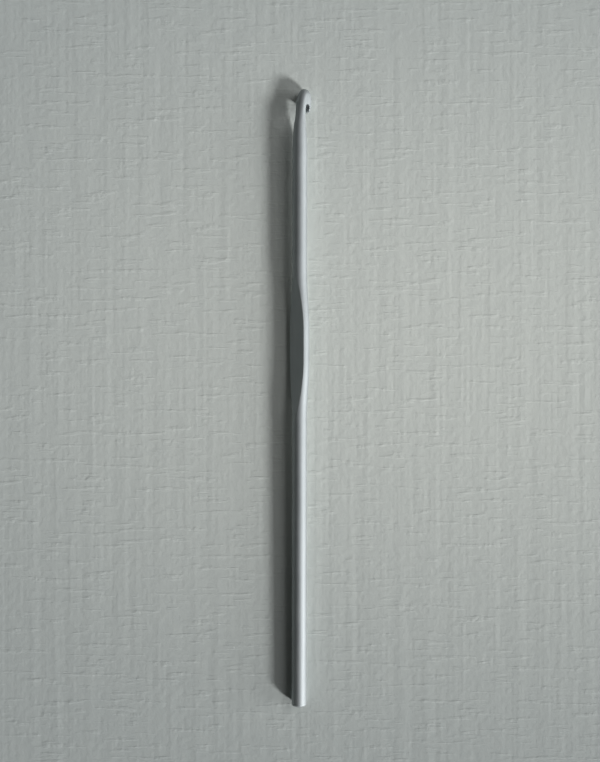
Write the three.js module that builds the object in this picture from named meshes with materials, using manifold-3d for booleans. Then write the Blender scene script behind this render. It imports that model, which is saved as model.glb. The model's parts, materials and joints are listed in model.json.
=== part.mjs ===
import * as THREE from 'three';
import { mergeVertices } from 'three/addons/utils/BufferGeometryUtils.js';
import Module from 'manifold-3d';

// A crochet hook forged from one aluminium rod. Sizes are in millimetres.
// It is shaped along its own axes: Y runs up the rod from the butt, X is the side that the mouth
// opens to, and Z runs across. It is laid on its side at the end, as it comes to rest on a table.
// The one forging is held as two solids, the handle and the hook's end. They meet face to face
// where the shaft starts to narrow, so that the end's throat stays open on its own.

// Rod
const hookLength = 146;
const shaftDiameter = 3.5;
const buttEdgeRadius = 0.6;

// Thumb rest, pressed between two dies that leave a flat on the mouth side and one on the back
const restFromTip = 60.8;
const restThickness = 1.95;
const restFlatLength = 7;
const restBlendRadius = 113;

// Neck, swaged round and thinner than the shaft
const neckDiameter = 2.4;
const neckFlareLength = 11;

// Head, headed over to the mouth side and as wide across as the shaft
const headWidth = 3.5;
const noseLength = 3.8;
const noseTipOffset = 0.83;
const headFrontReach = 3.13;
const headBackReach = 0.93;
const headAxisOffset = 1.3;
const headShoulderLength = 1.9;

// Throat, cut straight across between the neck and the lip
const throatFloor = 0.72;
const throatWidth = 1.1;
const throatTopFromTip = 3.8;
const rampStartFromTip = 6.4;
const rampEndFromTip = 12.5;

// Lip, narrower than the head, with its end rounded inside and sloping back outside
const lipEndFromTip = 5.4;
const lipEndRadius = 0.4;
const lipEndSlope = THREE.MathUtils.degToRad(15);
const lipWidth = 2.2;
const lipReach = 3.05;
const lipAxisOffset = 1.9;

// How finely round shapes are divided
const flatPoints = 4;
const sidePoints = 14;
const roundFlatAngle = THREE.MathUtils.degToRad(3);
const edgeSteps = 4;
const restSteps = 12;
const flareSteps = 10;
const headSteps = 9;
const noseSteps = 11;
const throatSegments = 12;

const shaftRadius = shaftDiameter / 2;
const neckRadius = neckDiameter / 2;
const neckFromTip = noseLength + headShoulderLength;
const lipInside = throatFloor + throatWidth;
const { lerp, smoothstep } = THREE.MathUtils;

// Every cross-section is a ring of the same points, in the same order: the strip that faces the
// mouth, one side, the strip on the back, the other side.
function ring(strip, side) {
  const points = [];
  for (const facing of [1, -1]) {
    for (let i = 0; i < flatPoints; i++) {
      const [x, z] = strip(facing, (2 * i) / (flatPoints - 1) - 1);
      points.push([x, facing * z]);
    }
    for (let i = 1; i <= sidePoints; i++) {
      const [x, z] = side(1 - (2 * i) / (sidePoints + 1));
      points.push([facing * x, facing * z]);
    }
  }
  return points;
}

// An egg that is widest at centre, from -back to front along X and width across.
function eggSection(centre, front, back, width) {
  const at = (x, z) => [centre + x * (x > 0 ? front - centre : back + centre), (z * width) / 2];
  const points = ring(
    (facing, t) => [facing * Math.cos(t * roundFlatAngle), Math.sin(t * roundFlatAngle)],
    (t) => {
      const angle = t * (Math.PI / 2 - roundFlatAngle);
      return [Math.sin(angle), Math.cos(angle)];
    },
  );
  return points.map(([x, z]) => at(x, z));
}

function roundSection(radius) {
  return eggSection(0, radius, radius, 2 * radius);
}

// The rod pressed down to half its thickness from halfThickness. The dies stop at two flats, the
// sides keep the rod's own curve, and the metal from under the flats moves them outward.
function pressedSection(halfThickness) {
  const capAngle = Math.acos(halfThickness / shaftRadius);
  const capArea = shaftRadius ** 2 * (capAngle - Math.sin(capAngle) * Math.cos(capAngle));
  const sideShift = capArea / (2 * halfThickness);
  const halfFlat = sideShift + shaftRadius * Math.sin(capAngle);
  return ring(
    (facing, t) => [facing * halfThickness, t * halfFlat],
    (t) => {
      const angle = t * (Math.PI / 2 - capAngle);
      return [shaftRadius * Math.sin(angle), sideShift + shaftRadius * Math.cos(angle)];
    },
  );
}

// The cropped end: a flat with its edge rounded over to the shaft.
function buttStations() {
  const stations = [];
  for (let i = 0; i <= edgeSteps; i++) {
    const angle = (i / edgeSteps) * (Math.PI / 2);
    stations.push({
      y: buttEdgeRadius * (1 - Math.cos(angle)),
      points: roundSection(shaftRadius - buttEdgeRadius * (1 - Math.sin(angle))),
    });
  }
  return stations;
}

// The dies are flat along the middle and curve away at both ends until they leave the rod.
function restStations() {
  const restCentre = hookLength - restFromTip;
  const pressDepth = shaftRadius - restThickness / 2;
  const blendLength = Math.sqrt(pressDepth * (2 * restBlendRadius - pressDepth));
  const stations = [];
  for (const end of [-1, 1]) {
    for (let i = 0; i <= restSteps; i++) {
      const along = end < 0 ? restSteps - i : i;
      const run = (along / restSteps) * blendLength;
      const rise = restBlendRadius - Math.sqrt(restBlendRadius ** 2 - run ** 2);
      stations.push({
        y: restCentre + end * (restFlatLength / 2 + run),
        points: along < restSteps
          ? pressedSection(restThickness / 2 + rise)
          : roundSection(shaftRadius),
      });
    }
  }
  return stations;
}

// The shaft narrows to the neck along one smooth curve, tangent to the shaft.
function flareStations() {
  const neckY = hookLength - neckFromTip;
  const curve = new THREE.QuadraticBezierCurve(
    new THREE.Vector2(shaftRadius, neckY - neckFlareLength),
    new THREE.Vector2(shaftRadius, neckY - neckFlareLength / 2),
    new THREE.Vector2(neckRadius, neckY),
  );
  return curve.getPoints(flareSteps).map((p) => ({ y: p.y, points: roundSection(p.x) }));
}

// From the neck up to the widest place of the head, in a gentle S.
function shoulderStations() {
  const stations = [];
  for (let i = 1; i <= headSteps; i++) {
    const share = smoothstep(i, 0, headSteps);
    stations.push({
      y: hookLength - noseLength - headShoulderLength * (1 - i / headSteps),
      points: eggSection(
        headAxisOffset * share,
        lerp(neckRadius, headFrontReach, share),
        lerp(neckRadius, headBackReach, share),
        lerp(neckDiameter, headWidth, share),
      ),
    });
  }
  return stations;
}

// From just past the lip's end up to the widest place of the head. The lip bows out to meet the
// head, and only its outer half is kept.
function lipStations() {
  const stations = [];
  const past = (lipEndFromTip + lipEndRadius - noseLength) / (lipEndFromTip - noseLength);
  for (let i = 0; i <= headSteps; i++) {
    const along = past * (1 - i / headSteps);
    const share = along ** 2;
    stations.push({
      y: lerp(hookLength - noseLength, hookLength - lipEndFromTip, along),
      points: eggSection(
        lerp(headAxisOffset, lipAxisOffset, share),
        lerp(headFrontReach, lipReach, share),
        headBackReach,
        lerp(headWidth, lipWidth, share),
      ),
    });
  }
  return stations;
}

// The nose closes from the widest place to the tip as a leaning half ellipsoid.
function noseStations() {
  const stations = [];
  for (let i = 1; i < noseSteps; i++) {
    const angle = (i / noseSteps) * (Math.PI / 2);
    const share = Math.cos(angle);
    stations.push({
      y: hookLength - noseLength * (1 - Math.sin(angle)),
      points: eggSection(
        lerp(noseTipOffset, headAxisOffset, share),
        lerp(noseTipOffset, headFrontReach, share),
        lerp(-noseTipOffset, headBackReach, share),
        headWidth * share,
      ),
    });
  }
  return stations;
}

// A closed skin over the stations, from a point at the start to a point at the tip.
function loft(stations, start, tip) {
  const count = stations[0].points.length;
  const vertices = stations.flatMap(({ y, points }) => points.map(([x, z]) => [x, y, z]));
  const startIndex = vertices.push(start) - 1;
  const tipIndex = vertices.push(tip) - 1;
  const lastRing = (stations.length - 1) * count;
  const triangles = [];
  for (let k = 0; k < count; k++) {
    const next = (k + 1) % count;
    triangles.push(startIndex, k, next);
    triangles.push(tipIndex, lastRing + next, lastRing + k);
    for (let s = 0; s < lastRing; s += count) {
      triangles.push(s + k, s + count + next, s + next);
      triangles.push(s + k, s + count + k, s + count + next);
    }
  }
  const geometry = new THREE.BufferGeometry();
  geometry.setAttribute('position', new THREE.Float32BufferAttribute(vertices.flat(), 3));
  geometry.setIndex(triangles);
  return geometry;
}

// The butt, the thumb rest and the shaft, up to where the neck starts to narrow.
function handleBlank() {
  const [end] = flareStations();
  return loft([...buttStations(), ...restStations(), end], [0, 0, 0], [0, end.y, 0]);
}

// The neck and the head, with the throat still filled.
function endBlank() {
  const stations = [...flareStations(), ...shoulderStations(), ...noseStations()];
  return loft(stations, [0, stations[0].y, 0], [noseTipOffset, hookLength, 0]);
}

// The metal on the mouth side that hangs past the shoulder and becomes the lip.
function lipBlank() {
  const stations = [...lipStations(), ...noseStations()];
  return loft(stations, [0, stations[0].y, 0], [noseTipOffset, hookLength, 0]);
}

// Everything from the middle of the slot outward, around the whole head.
function mouthSide() {
  const reach = 2 * headFrontReach;
  const block = new THREE.BoxGeometry(reach, 4 * noseLength, 2 * headWidth);
  return block.translate(throatFloor + (throatWidth + reach) / 2, hookLength - noseLength, 0);
}

// The cutter for the throat, seen across the hook: up the neck, over the rounded top of the slot,
// round the end of the lip, out past the head, and back down the ramp to the neck's surface.
function throatCutter() {
  const slotRadius = throatWidth / 2;
  const slotCentreY = hookLength - throatTopFromTip - slotRadius;
  const lipCentreX = lipInside + lipEndRadius;
  const lipCentreY = hookLength - lipEndFromTip + lipEndRadius;
  const slopeStartX = lipCentreX + lipEndRadius * Math.sin(lipEndSlope);
  const slopeStartY = lipCentreY - lipEndRadius * Math.cos(lipEndSlope);
  const lipEndTurn = 1.5 * Math.PI + lipEndSlope;
  const outside = 2 * headFrontReach;
  const outline = new THREE.Shape();
  outline.moveTo(throatFloor, hookLength - rampStartFromTip);
  outline.lineTo(throatFloor, slotCentreY);
  outline.absarc(throatFloor + slotRadius, slotCentreY, slotRadius, Math.PI, 0, true);
  outline.absarc(lipCentreX, lipCentreY, lipEndRadius, Math.PI, lipEndTurn, false);
  outline.lineTo(outside, slopeStartY + (outside - slopeStartX) * Math.tan(lipEndSlope));
  outline.lineTo(outside, hookLength - rampEndFromTip);
  outline.lineTo(shaftRadius, hookLength - rampEndFromTip);
  outline.quadraticCurveTo(
    throatFloor,
    hookLength - (rampStartFromTip + rampEndFromTip) / 2,
    throatFloor,
    hookLength - rampStartFromTip,
  );
  const depth = 2 * headWidth;
  const geometry = new THREE.ExtrudeGeometry(outline, {
    depth,
    bevelEnabled: false,
    curveSegments: throatSegments,
  });
  return geometry.translate(0, 0, -depth / 2);
}

function solid(geometry, wasm) {
  geometry.deleteAttribute('normal');
  geometry.deleteAttribute('uv');
  const merged = mergeVertices(geometry, 1e-5);
  return new wasm.Manifold(
    new wasm.Mesh({
      numProp: 3,
      vertProperties: merged.attributes.position.array,
      triVerts: Uint32Array.from(merged.index.array),
    }),
  );
}

function hookEnd(wasm) {
  const lip = solid(lipBlank(), wasm).intersect(solid(mouthSide(), wasm));
  const mesh = solid(endBlank(), wasm).add(lip).subtract(solid(throatCutter(), wasm)).getMesh();
  const geometry = new THREE.BufferGeometry();
  geometry.setAttribute('position', new THREE.BufferAttribute(mesh.vertProperties, 3));
  geometry.setIndex(new THREE.BufferAttribute(mesh.triVerts, 1));
  geometry.computeVertexNormals();
  return geometry;
}

function handle() {
  const geometry = handleBlank();
  geometry.computeVertexNormals();
  return geometry;
}

// The lowest point of one stretch of the hook, once it is rolled with its mouth down and, by slope,
// raised towards the tip.
function lowest(geometry, roll, slope, fromY, toY) {
  const place = geometry.attributes.position;
  const found = { y: 0, z: Infinity };
  for (let i = 0; i < place.count; i++) {
    const y = place.getY(i);
    const z = place.getZ(i) * Math.cos(roll) - place.getX(i) * Math.sin(roll) + slope * y;
    if (y >= fromY && y <= toY && z < found.z) Object.assign(found, { y, z });
  }
  return found;
}

// On a table the hook touches at its head, at one edge of the thumb rest and at its butt. With the
// mouth level the thumb rest alone holds the front up, with the mouth down the head does, so the
// roll where both touch lies between. The slope follows from the head and the butt.
function restingPose(handleGeometry, endGeometry) {
  const restCentre = hookLength - restFromTip;
  const restStart = restCentre - restFlatLength;
  const restEnd = restCentre + restFlatLength;
  let levelRoll = 0;
  let steepRoll = Math.PI / 2;
  let slope = 0;
  while (steepRoll - levelRoll > 1e-6) {
    const roll = (levelRoll + steepRoll) / 2;
    const butt = lowest(handleGeometry, roll, 0, 0, shaftDiameter);
    const head = lowest(endGeometry, roll, 0, hookLength - neckFromTip, hookLength);
    slope = (butt.z - head.z) / (head.y - butt.y);
    const rest = lowest(handleGeometry, roll, slope, restStart, restEnd);
    if (rest.z < butt.z + slope * butt.y) levelRoll = roll;
    else steepRoll = roll;
  }
  return { roll: levelRoll, pitch: Math.atan(slope) };
}

function aluminium() {
  return new THREE.MeshStandardMaterial({ color: 0xc4c9cd, roughness: 0.55, metalness: 1 });
}

function piece(name, geometry) {
  const mesh = new THREE.Mesh(geometry, aluminium());
  mesh.name = name;
  return mesh;
}

const wasm = await Module();
wasm.setup();

const handleGeometry = handle();
const endGeometry = hookEnd(wasm);

const laidHook = new THREE.Group();
laidHook.add(piece('handle', handleGeometry), piece('hook_end', endGeometry));
const pose = restingPose(handleGeometry, endGeometry);
laidHook.rotation.set(pose.pitch, pose.roll, 0, 'XYZ');
const { min, max } = new THREE.Box3().setFromObject(laidHook, true);
laidHook.position.set(-(min.x + max.x) / 2, -(min.y + max.y) / 2, -min.z);

const model = new THREE.Group();
model.add(laidHook);

export default model;
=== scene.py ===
import json
import math

import bmesh
import bpy
from mathutils import Matrix, Vector


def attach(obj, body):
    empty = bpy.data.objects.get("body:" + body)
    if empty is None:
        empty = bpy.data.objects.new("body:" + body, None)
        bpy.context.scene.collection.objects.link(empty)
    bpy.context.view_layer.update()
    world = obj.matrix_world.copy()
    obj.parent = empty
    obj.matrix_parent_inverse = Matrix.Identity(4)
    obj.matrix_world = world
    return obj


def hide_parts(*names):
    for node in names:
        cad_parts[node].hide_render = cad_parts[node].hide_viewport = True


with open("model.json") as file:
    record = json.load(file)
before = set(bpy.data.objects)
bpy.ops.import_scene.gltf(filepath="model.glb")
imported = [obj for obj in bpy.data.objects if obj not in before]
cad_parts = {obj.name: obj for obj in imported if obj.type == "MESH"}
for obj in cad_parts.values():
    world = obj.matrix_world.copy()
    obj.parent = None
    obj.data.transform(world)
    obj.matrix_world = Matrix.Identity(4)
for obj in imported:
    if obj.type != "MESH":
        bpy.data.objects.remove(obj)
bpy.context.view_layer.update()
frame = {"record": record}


# The rod. The whole hook is one length of drawn aluminium, cropped at the butt and rounded over
# there. It is shaped in millimetres along Y, from the butt at 0 to the tip, with the mouth on +X,
# and is laid on its side when it is whole.
HOOK_LENGTH = 146
ROD_RADIUS = 1.75
ROD_SIDES = 48
SIDE_ANGLE = 2 * math.pi / ROD_SIDES
BUTT_EDGE_RADIUS = 0.6
BUTT_EDGE_SEGMENTS = 6
HAIR = 1e-3


def pick(test):
    """Select the points whose place passes the test, and nothing else."""
    bpy.ops.mesh.select_all(action="DESELECT")
    mesh = bmesh.from_edit_mesh(bpy.context.object.data)
    for point in mesh.verts:
        point.select = test(point.co)
    mesh.select_flush(True)
    bmesh.update_edit_mesh(bpy.context.object.data)


def at(y):
    """A test for the ring of points at one place along the rod."""
    return lambda place: abs(place.y - y) < HAIR


def cut_rings(places):
    """Cut a ring of points straight across at each of these places."""
    for y in places:
        bpy.ops.mesh.select_all(action="SELECT")
        bpy.ops.mesh.bisect(plane_co=(0, y, 0), plane_no=(0, 1, 0))


bpy.ops.object.select_all(action="DESELECT")
bpy.ops.mesh.primitive_cylinder_add(
    vertices=ROD_SIDES,
    radius=ROD_RADIUS,
    depth=HOOK_LENGTH,
    location=(0, HOOK_LENGTH / 2, 0),
    rotation=(-math.pi / 2, 0, 0),
)
bpy.ops.object.transform_apply()
hook = bpy.context.object
hook.name = "crochet_hook"
bpy.ops.object.mode_set(mode="EDIT")
bpy.ops.mesh.select_mode(type="VERT")
pick(at(0))
bpy.ops.mesh.bevel(offset=BUTT_EDGE_RADIUS, segments=BUTT_EDGE_SEGMENTS, affect="EDGES")


# The thumb rest. Two dies press a flat into the mouth side and one into the back. They are flat in
# the middle and curve away at both ends, and the metal from under them moves out to the sides. The
# flats' edges are broken by tumbling.
REST_CENTRE = HOOK_LENGTH - 60.8
REST_HALF_THICKNESS = 0.975
DIE_FLAT_LENGTH = 7
DIE_RADIUS = 113
REST_RINGS = 26
EDGE_ROUND = 0.05
EDGE_SEGMENTS = 3
FAINT_EDGE = math.radians(20)


def pressed(y):
    """Half the thickness at one place, the flat's half angle there, and how far the sides move."""
    run = max(abs(y - REST_CENTRE) - DIE_FLAT_LENGTH / 2, 0)
    half = REST_HALF_THICKNESS + DIE_RADIUS - math.sqrt(DIE_RADIUS**2 - run**2)
    angle = math.acos(min(half / ROD_RADIUS, 1))
    cap = ROD_RADIUS**2 * (angle - math.sin(angle) * math.cos(angle))
    return half, angle, cap / (2 * half)


def on_flat_edge(place):
    """A test for the points along the edges of both flats, where they are sharp enough to see."""
    half, angle, spread = pressed(place.y)
    width = spread + ROD_RADIUS * math.sin(angle)
    near = abs(abs(place.x) - half) < HAIR and abs(abs(place.z) - width) < HAIR
    return near and angle > FAINT_EDGE


press_depth = ROD_RADIUS - REST_HALF_THICKNESS
blend_length = math.sqrt(press_depth * (2 * DIE_RADIUS - press_depth))
rest_rings = [
    REST_CENTRE + end * (DIE_FLAT_LENGTH / 2 + blend_length * i / REST_RINGS)
    for end in (-1, 1)
    for i in range(REST_RINGS + 1)
]
cut_rings(rest_rings)
for y in rest_rings:
    half, angle, spread = pressed(y)
    nearest = round(angle / SIDE_ANGLE) * SIDE_ANGLE
    corner = Vector((ROD_RADIUS * math.cos(nearest), y, ROD_RADIUS * math.sin(nearest)))
    shift = Vector((half, y, ROD_RADIUS * math.sin(angle))) - corner
    for way in (-1, 1):
        for side in (-1, 1):
            if nearest > 0:
                turned = Vector((way, 1, side))
                pick(lambda place: (place - corner * turned).length < HAIR)
                bpy.ops.transform.translate(value=shift * turned)
    for side in (-1, 1):
        pick(lambda place: at(y)(place) and side * place.z > HAIR)
        bpy.ops.transform.translate(value=(0, 0, side * spread))
    for way in (-1, 1):
        pick(lambda place: at(y)(place) and way * place.x > half - HAIR)
        bpy.ops.transform.resize(value=(0, 1, 1), center_override=(way * half, y, 0))
pick(on_flat_edge)
bpy.ops.mesh.vert_connect()
pick(on_flat_edge)
bpy.ops.mesh.bevel(offset=EDGE_ROUND, segments=EDGE_SEGMENTS, affect="EDGES")


# The neck and the head. The rod is swaged down to a thin round neck, and its end is headed over to
# the mouth side. The blank swells from the neck to the mouth, through a shoulder to its widest
# place, and closes to a leaning nose. The throat, cut next, leaves the front of it as the lip.
NECK_RADIUS = 1.2
NECK_TOP = HOOK_LENGTH - 5.7
FLARE_LENGTH = 11
MOUTH_START = HOOK_LENGTH - 9.5
LIP_END = HOOK_LENGTH - 5.4
LIP_CENTRE = 0.3
LIP_REACH = 3.05
LIP_HALF_WIDTH = 1.3
HEAD_CENTRE = 1.3
HEAD_FRONT = 3.07
HEAD_BACK = 0.75
HEAD_HALF_WIDTH = 1.75
SIDE_PRESS_START = 1.3
SIDE_PRESS_SHARE = 0.3
NOSE_LENGTH = 3.8
NOSE_CENTRE = 0.8
NOSE_LEAN = 0.55
NOSE_ROUNDING = 0.8
FLARE_RINGS = 12
MOUTH_RINGS = 18
SHOULDER_RINGS = 12
NOSE_RINGS = 16

widest = HOOK_LENGTH - NOSE_LENGTH
flare_start = NECK_TOP - FLARE_LENGTH


def blend(low, high, share):
    """The size that lies this share of the way from the low one to the high one."""
    return low + (high - low) * share


def ease(share):
    """The same share, but starting and ending gently."""
    return share**2 * (3 - 2 * share)


def steps(count):
    """Shares of the way from 0 to 1, at the middles of this many equal steps."""
    return [(i + 0.5) / count for i in range(count)]


def neck_radius(y):
    """The neck's radius, which narrows ever faster up to the neck's top."""
    share = min((y - flare_start) / FLARE_LENGTH, 1)
    return blend(ROD_RADIUS, NECK_RADIUS, share**2)


def back_reach(y):
    """How far the back stands out, which draws in gently from the neck to the head."""
    share = ease((y - MOUTH_START) / (widest - MOUTH_START))
    return blend(neck_radius(y), HEAD_BACK, share)


def egg_ring(y, centre, front, back, half_width):
    """Shape a round ring into an egg from -back to front, widest at the centre."""
    pick(at(y))
    bpy.ops.transform.resize(value=(1, 1, half_width / ROD_RADIUS), center_override=(0, y, 0))
    for way, reach in ((1, front - centre), (-1, back + centre)):
        pick(lambda place: at(y)(place) and way * place.x > HAIR)
        bpy.ops.transform.resize(value=(reach / ROD_RADIUS, 1, 1), center_override=(0, y, 0))
    pick(at(y))
    bpy.ops.transform.translate(value=(centre, 0, 0))


def press_sides(y):
    """Press the head's two sides nearly flat, as its dies do."""
    for side in (-1, 1):
        pick(lambda place: at(y)(place) and side * place.z > SIDE_PRESS_START)
        bpy.ops.transform.resize(
            value=(1, 1, SIDE_PRESS_SHARE), center_override=(0, y, side * SIDE_PRESS_START)
        )


flare = [blend(flare_start, MOUTH_START, share) for share in steps(FLARE_RINGS)]
mouth = [blend(MOUTH_START, LIP_END, share) for share in steps(MOUTH_RINGS)]
shoulder = [blend(LIP_END, widest, share) for share in steps(SHOULDER_RINGS)]
turns = [math.pi / 2 * share for share in steps(NOSE_RINGS)]
nose = [widest + NOSE_LENGTH * math.sin(turn) for turn in turns]
cut_rings([flare_start] + flare + mouth + shoulder + nose)
for y in flare:
    radius = neck_radius(y)
    egg_ring(y, 0, radius, radius, radius)
for y in mouth:
    share = ease((y - MOUTH_START) / (LIP_END - MOUTH_START))
    radius = neck_radius(y)
    egg_ring(
        y,
        LIP_CENTRE * share,
        blend(radius, LIP_REACH, share),
        back_reach(y),
        blend(radius, LIP_HALF_WIDTH, share),
    )
for y in shoulder:
    along = (y - LIP_END) / (widest - LIP_END)
    share = ease(along)
    egg_ring(
        y,
        blend(LIP_CENTRE, HEAD_CENTRE, share),
        blend(HEAD_FRONT, LIP_REACH, (1 - along) ** 2),
        back_reach(y),
        blend(LIP_HALF_WIDTH, HEAD_HALF_WIDTH, share),
    )
    press_sides(y)
for y, turn in zip(nose, turns):
    share = math.cos(turn) ** NOSE_ROUNDING
    lean = NOSE_LEAN * (y - widest) / NOSE_LENGTH
    egg_ring(
        y,
        blend(NOSE_CENTRE, HEAD_CENTRE, share) + lean,
        blend(NOSE_CENTRE, HEAD_FRONT, share) + lean,
        blend(-NOSE_CENTRE, HEAD_BACK, share) - lean,
        HEAD_HALF_WIDTH * share,
    )
    press_sides(y)
pick(at(HOOK_LENGTH))
bpy.ops.mesh.merge(type="CENTER")
bpy.ops.transform.translate(value=(NOSE_CENTRE + NOSE_LEAN, 0, 0))
bpy.ops.object.mode_set(mode="OBJECT")


# The throat. A cutter runs straight across: up the neck's ramp to the slot between neck and lip,
# round the slot's top and round the inside of the lip's end. The ramp runs out into the neck at a
# small angle, and its edge stays crisp there.
THROAT_FLOOR = 0.6
THROAT_WIDTH = 1.3
THROAT_TOP = HOOK_LENGTH - 3.8
LIP_END_RADIUS = 0.4
LIP_END_SLOPE = math.radians(15)
RAMP_BOTTOM = HOOK_LENGTH - 12.5
RAMP_TOP = HOOK_LENGTH - 6.4
RAMP_EDGE = math.radians(10)
CUTTER_REACH = 7
SLOT_SEGMENTS = 16
LIP_SEGMENTS = 8
RAMP_SEGMENTS = 16


def round_corner(x, y, offset, segments):
    """Bevel the cutter's edge that runs across at one corner of its outline."""
    pick(lambda place: abs(place.x - x) < HAIR and abs(place.y - y) < HAIR)
    bpy.ops.mesh.bevel(offset=offset, segments=segments, affect="EDGES")


slot_middle = THROAT_FLOOR + THROAT_WIDTH / 2
bpy.ops.object.select_all(action="DESELECT")
bpy.ops.mesh.primitive_cube_add(
    size=1,
    location=(slot_middle, (THROAT_TOP + RAMP_BOTTOM) / 2, 0),
    scale=(THROAT_WIDTH, THROAT_TOP - RAMP_BOTTOM, CUTTER_REACH),
)
bpy.ops.object.transform_apply()
cutter = bpy.context.object
cutter.name = "throat_cutter"
bpy.ops.object.mode_set(mode="EDIT")
bpy.ops.mesh.select_mode(type="VERT")
throat_edge = THROAT_FLOOR + THROAT_WIDTH
lip_corner = LIP_END + LIP_END_RADIUS * (1 - 1 / math.cos(LIP_END_SLOPE) - math.tan(LIP_END_SLOPE))
ramp_corner = (RAMP_BOTTOM + RAMP_TOP) / 2
cut_rings([lip_corner, ramp_corner])
pick(lambda place: abs(place.x - throat_edge) < HAIR and place.y < lip_corner + HAIR)
bpy.ops.mesh.extrude_region_move(TRANSFORM_OT_translate={"value": (CUTTER_REACH, 0, 0)})
pick(lambda place: place.x > throat_edge + HAIR and abs(place.y - lip_corner) < HAIR)
bpy.ops.transform.translate(value=(0, CUTTER_REACH * math.tan(LIP_END_SLOPE), 0))
pick(lambda place: place.x < throat_edge - HAIR and place.y < RAMP_BOTTOM + HAIR)
bpy.ops.transform.translate(value=(ROD_RADIUS - THROAT_FLOOR, 0, 0))

lip_bevel = LIP_END_RADIUS / math.tan((math.pi / 2 - LIP_END_SLOPE) / 2)
round_corner(throat_edge, lip_corner, lip_bevel, LIP_SEGMENTS)
round_corner(THROAT_FLOOR, ramp_corner, RAMP_TOP - ramp_corner, RAMP_SEGMENTS)
for x in (THROAT_FLOOR, throat_edge):
    round_corner(x, THROAT_TOP, THROAT_WIDTH / 2 - HAIR, SLOT_SEGMENTS)
bpy.ops.object.mode_set(mode="OBJECT")
bpy.ops.object.select_all(action="DESELECT")
bpy.context.view_layer.objects.active = hook
hook.select_set(True)
cut = hook.modifiers.new("throat", "BOOLEAN")
cut.operation = "DIFFERENCE"
cut.object = cutter
cut.solver = "EXACT"
bpy.ops.object.modifier_apply(modifier=cut.name)
bpy.data.objects.remove(cutter)

bpy.ops.object.mode_set(mode="EDIT")
bpy.ops.mesh.select_mode(type="EDGE")
bpy.ops.mesh.select_all(action="DESELECT")
mesh = bmesh.from_edit_mesh(hook.data)
for edge in mesh.edges:
    near_ramp = all(RAMP_BOTTOM < point.co.y < RAMP_TOP and point.co.x > 0 for point in edge.verts)
    edge.select_set(near_ramp and edge.calc_face_angle() > RAMP_EDGE)
bmesh.update_edit_mesh(hook.data)
bpy.ops.mesh.mark_sharp()
bpy.ops.object.mode_set(mode="OBJECT")


# The finished forging is tumbled smooth. It lies on the board on its head, one edge of the thumb
# rest and its butt, and the record's place and direction of the rest's flat say how it is turned.
# It is scaled to metres as it is laid, and places and lengths from here on are in metres.
SMOOTH_ANGLE = math.radians(35)
MILLIMETRE = 0.001

bpy.ops.object.select_all(action="DESELECT")
hook.select_set(True)
bpy.ops.object.shade_smooth_by_angle(angle=SMOOTH_ANGLE)

thumb_flat = next(mount for mount in frame["record"]["mounts"] if mount["name"] == "thumb_flat")
facing = Vector(thumb_flat["axis"])
pitch = math.atan2(-facing.y, facing.z)
roll = math.atan2(math.hypot(facing.y, facing.z), -facing.x)
laid = Matrix.Rotation(pitch, 3, "X") @ Matrix.Rotation(roll, 3, "Y")
flat_middle = Vector((-REST_HALF_THICKNESS, REST_CENTRE, 0)) * MILLIMETRE
butt = Vector(thumb_flat["pos_m"]) - laid @ flat_middle
hook.rotation_mode = "YXZ"
hook.rotation_euler = (pitch, roll, 0)
hook.scale = (MILLIMETRE,) * 3
hook.location = butt
bpy.ops.object.transform_apply()

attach(hook, "root")
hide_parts("handle", "hook_end")


# The finish is satin aluminium, clear anodised. Drawing leaves fine marks along the rod, the cutter
# leaves marks across the throat's ramp, tumbling dulls both, and use adds faint nicks. The slot is
# painted darker as painted shade, patchy with the mottle. Patterns are laid out in millimetres
# along the hook's own axes. Each pair of ends says where a pattern is not there yet and where it is
# full, and each share says how much of the tone, the painted shade, the roughness or the relief is
# its own.
NOISE_MIDDLE = 0.5
SATIN_DARK = (0.41, 0.44, 0.45, 1)
SATIN_LIGHT = (0.45, 0.48, 0.49, 1)
SATIN_ROUGHNESS = 0.7
SATIN_ENDS = (0.35, 0.65)
MARK_DEPTH = 0.012 * MILLIMETRE
FINE_MARKS = (9, 0.22, 9)
LONG_MARKS = (2.4, 0.05, 2.4)
CUT_MARKS = (0.4, 11, 0.4)
CUT_FACING_ENDS = (0.9, 0.95)
CUT_BOTTOM_ENDS = (RAMP_BOTTOM, RAMP_BOTTOM + 1)
CUT_TOP_ENDS = (LIP_END, LIP_END - 0.2)
MOTTLE = (0.5, 0.3, 0.5)
NICKS = (7, 0.55, 7)
NICK_DIRECTION = (math.radians(38), math.radians(20), math.radians(27))
NICK_ENDS = (0.7, 0.76)
# The dark colour painted into the throat's slot as shade, and the ends of that painted shade.
SLOT_SHADE_COLOUR = (0.20, 0.20, 0.21, 1)
SLOT_SHADE_FLOOR_ENDS = (THROAT_FLOOR - 0.03, THROAT_FLOOR)
SLOT_SHADE_EDGE_ENDS = (throat_edge + 0.03, throat_edge)
SLOT_SHADE_BOTTOM_ENDS = (LIP_END - 0.6, THROAT_TOP - 0.3)
SLOT_SHADE_TOP_ENDS = (THROAT_TOP + 0.05, THROAT_TOP)
SLOT_SHADE_RIGHT_ENDS = (1.4, 1)
SLOT_SHADE_LEFT_ENDS = (-1.4, -1)
MOTTLE_TONE_SHARE = 0.6
MARKS_TONE_SHARE = 0.4
SLOT_SHADE_LEAST = 0.3
MOTTLE_SLOT_SHADE_SHARE = 0.5
MOTTLE_ROUGH_SHARE = 0.1
MARKS_ROUGH_SHARE = 0.08
NICKS_ROUGH_SHARE = 0.1
MARKS_RELIEF_SHARE = 0.5
CUT_RELIEF_SHARE = 0.6
NICKS_RELIEF_SHARE = 0.3


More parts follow.
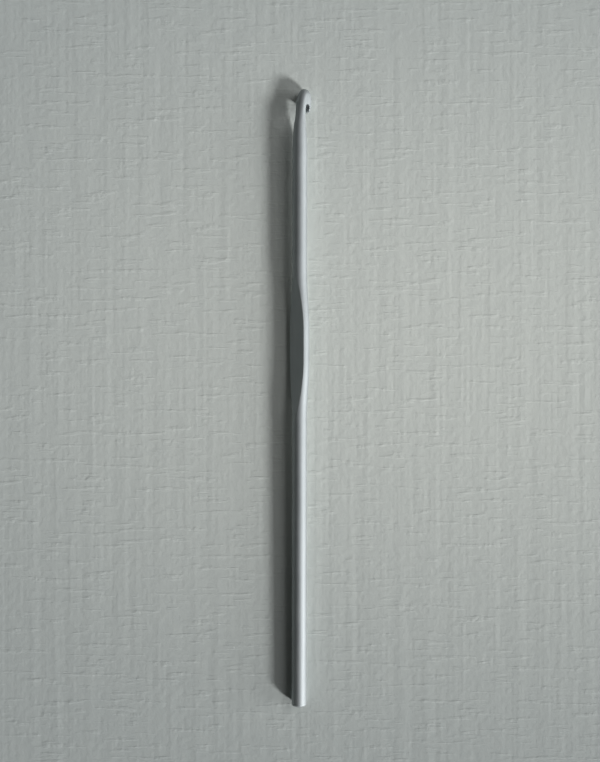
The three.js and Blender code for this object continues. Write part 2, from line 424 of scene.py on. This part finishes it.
class Value:
    """A number that changes over a surface, so that shader maths reads as plain sums."""

    def __init__(self, finish, socket):
        self.finish = finish
        self.socket = socket

    def maths(self, operation, first, second):
        """Work out one sum with a Math node."""
        return self.finish.node("ShaderNodeMath", {"operation": operation}, {0: first, 1: second})

    def __add__(self, other):
        return self.maths("ADD", self, other)

    def __radd__(self, other):
        return self.maths("ADD", other, self)

    def __sub__(self, other):
        return self.maths("SUBTRACT", self, other)

    def __rsub__(self, other):
        return self.maths("SUBTRACT", other, self)

    def __mul__(self, other):
        return self.maths("MULTIPLY", self, other)

    def __rmul__(self, other):
        return self.maths("MULTIPLY", other, self)


class Finish:
    """A material, or the room's light, built up from its nodes."""

    def __init__(self, owner):
        self.owner = owner
        self.owner.use_nodes = True
        self.tree = self.owner.node_tree
        self.tree.nodes.clear()

    def node(self, kind, settings, inputs, output=0):
        """Add a node, set it up, fill or link its sockets, and return one of its outputs."""
        made = self.tree.nodes.new(kind)
        for name, value in settings.items():
            setattr(made, name, value)
        for name, value in inputs.items():
            if isinstance(value, Value):
                self.tree.links.new(value.socket, made.inputs[name])
            else:
                made.inputs[name].default_value = value
        return Value(self, made.outputs[output])

    def end(self, kind, shader):
        """Close with an end node of this kind, which takes the shader."""
        closing = self.tree.nodes.new(kind)
        self.tree.links.new(shader.socket, closing.inputs["Surface"])

    def noise(self, places, stretch, detail=3):
        """Noise from 0 to 1, this many times finer along each axis than one millimetre."""
        scaled = self.node(
            "ShaderNodeVectorMath", {"operation": "MULTIPLY"}, {0: places, 1: stretch}
        )
        return self.node(
            "ShaderNodeTexNoise", {}, {"Vector": scaled, "Scale": 1, "Detail": detail}, "Fac"
        )

    def between(self, value, ends):
        """0 where the value is at the first end, 1 where it is at the second, smooth between."""
        return self.node(
            "ShaderNodeMapRange",
            {"interpolation_type": "SMOOTHSTEP"},
            {"Value": value, "From Min": ends[0], "From Max": ends[1]},
        )

    def mix(self, share, first, second):
        """The first colour where the share is 0 and the second where it is 1.

        A Mix node's colours are its inputs 6 and 7, and the mixed colour is its output 2.
        """
        return self.node(
            "ShaderNodeMix", {"data_type": "RGBA"}, {"Factor": share, 6: first, 7: second}, 2
        )


satin = Finish(bpy.data.materials.new("satin_aluminium"))
surface = satin.node("ShaderNodeTexCoord", {}, {}, "Object")
own = satin.node(
    "ShaderNodeMapping",
    {"vector_type": "TEXTURE"},
    {
        "Vector": surface,
        "Location": butt,
        "Rotation": laid.to_euler("XYZ"),
        "Scale": (MILLIMETRE,) * 3,
    },
)
across = satin.node("ShaderNodeSeparateXYZ", {}, {"Vector": own}, "X")
along = satin.node("ShaderNodeSeparateXYZ", {}, {"Vector": own}, "Y")
upward = satin.node("ShaderNodeSeparateXYZ", {}, {"Vector": own}, "Z")
fine_marks = satin.noise(own, FINE_MARKS, detail=4)
long_marks = satin.noise(own, LONG_MARKS)
mottle = satin.noise(own, MOTTLE, detail=5)

crossways = satin.node(
    "ShaderNodeMapping",
    {"vector_type": "POINT"},
    {"Vector": own, "Rotation": NICK_DIRECTION},
)
nicks = satin.between(satin.noise(crossways, NICKS, detail=2), NICK_ENDS)

# Painted shade: a mask for the inside of the throat's slot, where shade falls.
painted_slot_shade = satin.between(across, SLOT_SHADE_FLOOR_ENDS)
painted_slot_shade = painted_slot_shade * satin.between(across, SLOT_SHADE_EDGE_ENDS)
painted_slot_shade = painted_slot_shade * satin.between(along, SLOT_SHADE_BOTTOM_ENDS)
painted_slot_shade = painted_slot_shade * satin.between(along, SLOT_SHADE_TOP_ENDS)
painted_slot_shade = painted_slot_shade * satin.between(upward, SLOT_SHADE_RIGHT_ENDS)
painted_slot_shade = painted_slot_shade * satin.between(upward, SLOT_SHADE_LEFT_ENDS)

facing_out = satin.node(
    "ShaderNodeVectorMath",
    {"operation": "DOT_PRODUCT"},
    {0: satin.node("ShaderNodeTexCoord", {}, {}, "Normal"), 1: laid @ Vector((1, 0, 0))},
    "Value",
)
on_ramp = satin.between(facing_out, CUT_FACING_ENDS)
on_ramp = on_ramp * satin.between(along, CUT_BOTTOM_ENDS)
on_ramp = on_ramp * satin.between(along, CUT_TOP_ENDS)
cut_marks = satin.noise(own, CUT_MARKS, detail=2) * on_ramp

cloudy = MOTTLE_TONE_SHARE * mottle + MARKS_TONE_SHARE * long_marks
tone = satin.mix(satin.between(cloudy, SATIN_ENDS), SATIN_DARK, SATIN_LIGHT)
# The slot's painted shade darkens the tone there, patchy with the mottle.
colour = satin.mix(painted_slot_shade * (SLOT_SHADE_LEAST + MOTTLE_SLOT_SHADE_SHARE * mottle), tone, SLOT_SHADE_COLOUR)
roughness = SATIN_ROUGHNESS + MOTTLE_ROUGH_SHARE * (mottle - NOISE_MIDDLE)
roughness = roughness + MARKS_ROUGH_SHARE * (fine_marks - NOISE_MIDDLE)
roughness = roughness - NICKS_ROUGH_SHARE * nicks
height = MARKS_RELIEF_SHARE * fine_marks + MARKS_RELIEF_SHARE * long_marks
height = height + CUT_RELIEF_SHARE * cut_marks - NICKS_RELIEF_SHARE * nicks
relief = satin.node("ShaderNodeBump", {}, {"Distance": MARK_DEPTH, "Height": height})
metal = satin.node(
    "ShaderNodeBsdfPrincipled",
    {},
    {"Metallic": 1, "Base Color": colour, "Roughness": roughness, "Normal": relief},
)
satin.end("ShaderNodeOutputMaterial", metal)
hook.data.materials.append(satin.owner)


# The board. The hook lies on rough-sawn wood under thick pale grey-green paint, much larger than
# the picture. Its grain runs along the hook, and the saw left short ridges across the grain. Its
# colour holds a painted fall-off of light, darker away from the middle of the light, and patchy
# paint.
BOARD_SIZE = 6
BOARD_PALE = (0.719, 0.751, 0.708, 1)
BOARD_DULL = (0.444, 0.481, 0.474, 1)
# The painted fall-off of light: its middle and reach, and how much it darkens the paint outward.
PAINTED_LIGHT_MIDDLE = (0.036, 0.014, 0)
PAINTED_LIGHT_REACH = (0.177, 0.124, 1)
DULL_IN_MIDDLE = 0.2
PAINTED_FALLOFF_OUTWARD = 0.75
DULL_PATCHES = 0.2
PATCHES = (0.35, 0.2, 1)
GRAIN = (0.35, 0.012, 1)
LUMPS = (0.7, 0.6, 1)
SAW_RIDGES = (0.11, 0.75, 1)
SAW_RIDGE_ENDS = (0.52, 0.68)
GRAIN_RELIEF_SHARE = 0.7
LUMPS_RELIEF_SHARE = 0.5
RIDGES_RELIEF_SHARE = 0.5
PAINT_DEPTH = 0.16 * MILLIMETRE

bpy.ops.object.select_all(action="DESELECT")
bpy.ops.mesh.primitive_plane_add(size=BOARD_SIZE)
floor = bpy.context.object
floor.name = "floor"

board = Finish(bpy.data.materials.new("painted_board"))
sheet = board.node("ShaderNodeTexCoord", {}, {}, "Object")
paint_places = board.node(
    "ShaderNodeMapping",
    {"vector_type": "TEXTURE"},
    {"Vector": sheet, "Scale": (MILLIMETRE,) * 3},
)
patches = board.noise(paint_places, PATCHES, detail=4)
grain = board.noise(paint_places, GRAIN, detail=2)
lumps = board.noise(paint_places, LUMPS)
saw_ridges = board.between(board.noise(paint_places, SAW_RIDGES), SAW_RIDGE_ENDS)
# Painted light: the paint is paler at the middle of the light and darker outward, with paint
# patches on top.
from_middle = board.node(
    "ShaderNodeMapping",
    {"vector_type": "TEXTURE"},
    {"Vector": sheet, "Location": PAINTED_LIGHT_MIDDLE, "Scale": PAINTED_LIGHT_REACH},
)
away = board.node("ShaderNodeVectorMath", {"operation": "LENGTH"}, {0: from_middle}, "Value")
falloff_and_patches = DULL_IN_MIDDLE + PAINTED_FALLOFF_OUTWARD * board.between(away, (0, 1))
falloff_and_patches = falloff_and_patches + DULL_PATCHES * (patches - NOISE_MIDDLE)
paint = board.mix(falloff_and_patches, BOARD_PALE, BOARD_DULL)
rough = GRAIN_RELIEF_SHARE * grain + LUMPS_RELIEF_SHARE * lumps
rough = rough + RIDGES_RELIEF_SHARE * saw_ridges * lumps
sawn = board.node("ShaderNodeBump", {}, {"Distance": PAINT_DEPTH, "Height": rough})
painted = board.node("ShaderNodeBsdfDiffuse", {}, {"Color": paint, "Normal": sawn})
board.end("ShaderNodeOutputMaterial", painted)
floor.data.materials.append(board.owner)


# The light. A broad lamp stands low between the mouth side and the butt, and throws the shadow to
# the left. A wide low glow, a high window and a weak lamp beyond the head soften it. The room is
# dim, with a pale wall low around the board.
FAR_LAMPS = (
    {"towards": (0.702, -0.610, 0.385), "width": 10, "strength": 3.2},
    {"towards": (0.979, -0.059, 0.2), "width": 28, "strength": 1.55},
)
NEAR_LAMPS = (
    {"place": (0.5, 0.35, 0.6), "size": 0.4, "power": 1.6},
    {"place": (-0.06, 0.27, 0.2), "size": 0.25, "power": 0.05},
)
WALL_COLOUR = (0.456, 0.479, 0.453, 1)
WALL_TOP = math.radians(5)
WALL_FADE = math.radians(13)
ROOM_LIGHT = 0.03

for far in FAR_LAMPS:
    turn = Vector(far["towards"]).to_track_quat("Z", "Y")
    bpy.ops.object.light_add(type="SUN", rotation=turn.to_euler())
    lamp = bpy.context.object.data
    lamp.angle = math.radians(far["width"])
    lamp.energy = far["strength"]
for near in NEAR_LAMPS:
    turn = Vector(near["place"]).to_track_quat("Z", "Y")
    bpy.ops.object.light_add(type="AREA", location=near["place"], rotation=turn.to_euler())
    lamp = bpy.context.object.data
    lamp.size = near["size"]
    lamp.energy = near["power"]

room = Finish(bpy.data.worlds.new("dim_room"))
bpy.context.scene.world = room.owner
direction = room.node("ShaderNodeTexCoord", {}, {}, "Generated")
rise = room.node("ShaderNodeSeparateXYZ", {}, {"Vector": direction}, "Z")
above_wall = room.between(rise, (math.sin(WALL_TOP), math.sin(WALL_FADE)))
brightness = 1 - (1 - ROOM_LIGHT) * above_wall
wall = room.node("ShaderNodeBackground", {}, {"Color": WALL_COLOUR, "Strength": brightness})
room.end("ShaderNodeOutputWorld", wall)


# The camera looks straight down from above the middle of the hook, as the photograph was taken.
# Its picture stands a hair askew to the hook.
CAMERA_PLACE = (-0.0001, 0.0039, 0.2497)
CAMERA_TILT = math.radians(0.083)
VIEW_ANGLE = math.radians(40)
NEAREST_SEEN = 0.005

bpy.ops.object.camera_add(location=CAMERA_PLACE, rotation=(0, 0, CAMERA_TILT))
camera = bpy.context.object
camera.data.sensor_fit = "VERTICAL"
camera.data.angle = VIEW_ANGLE
camera.data.clip_start = NEAREST_SEEN
bpy.context.scene.camera = camera
bpy.context.scene.view_settings.view_transform = "Standard"
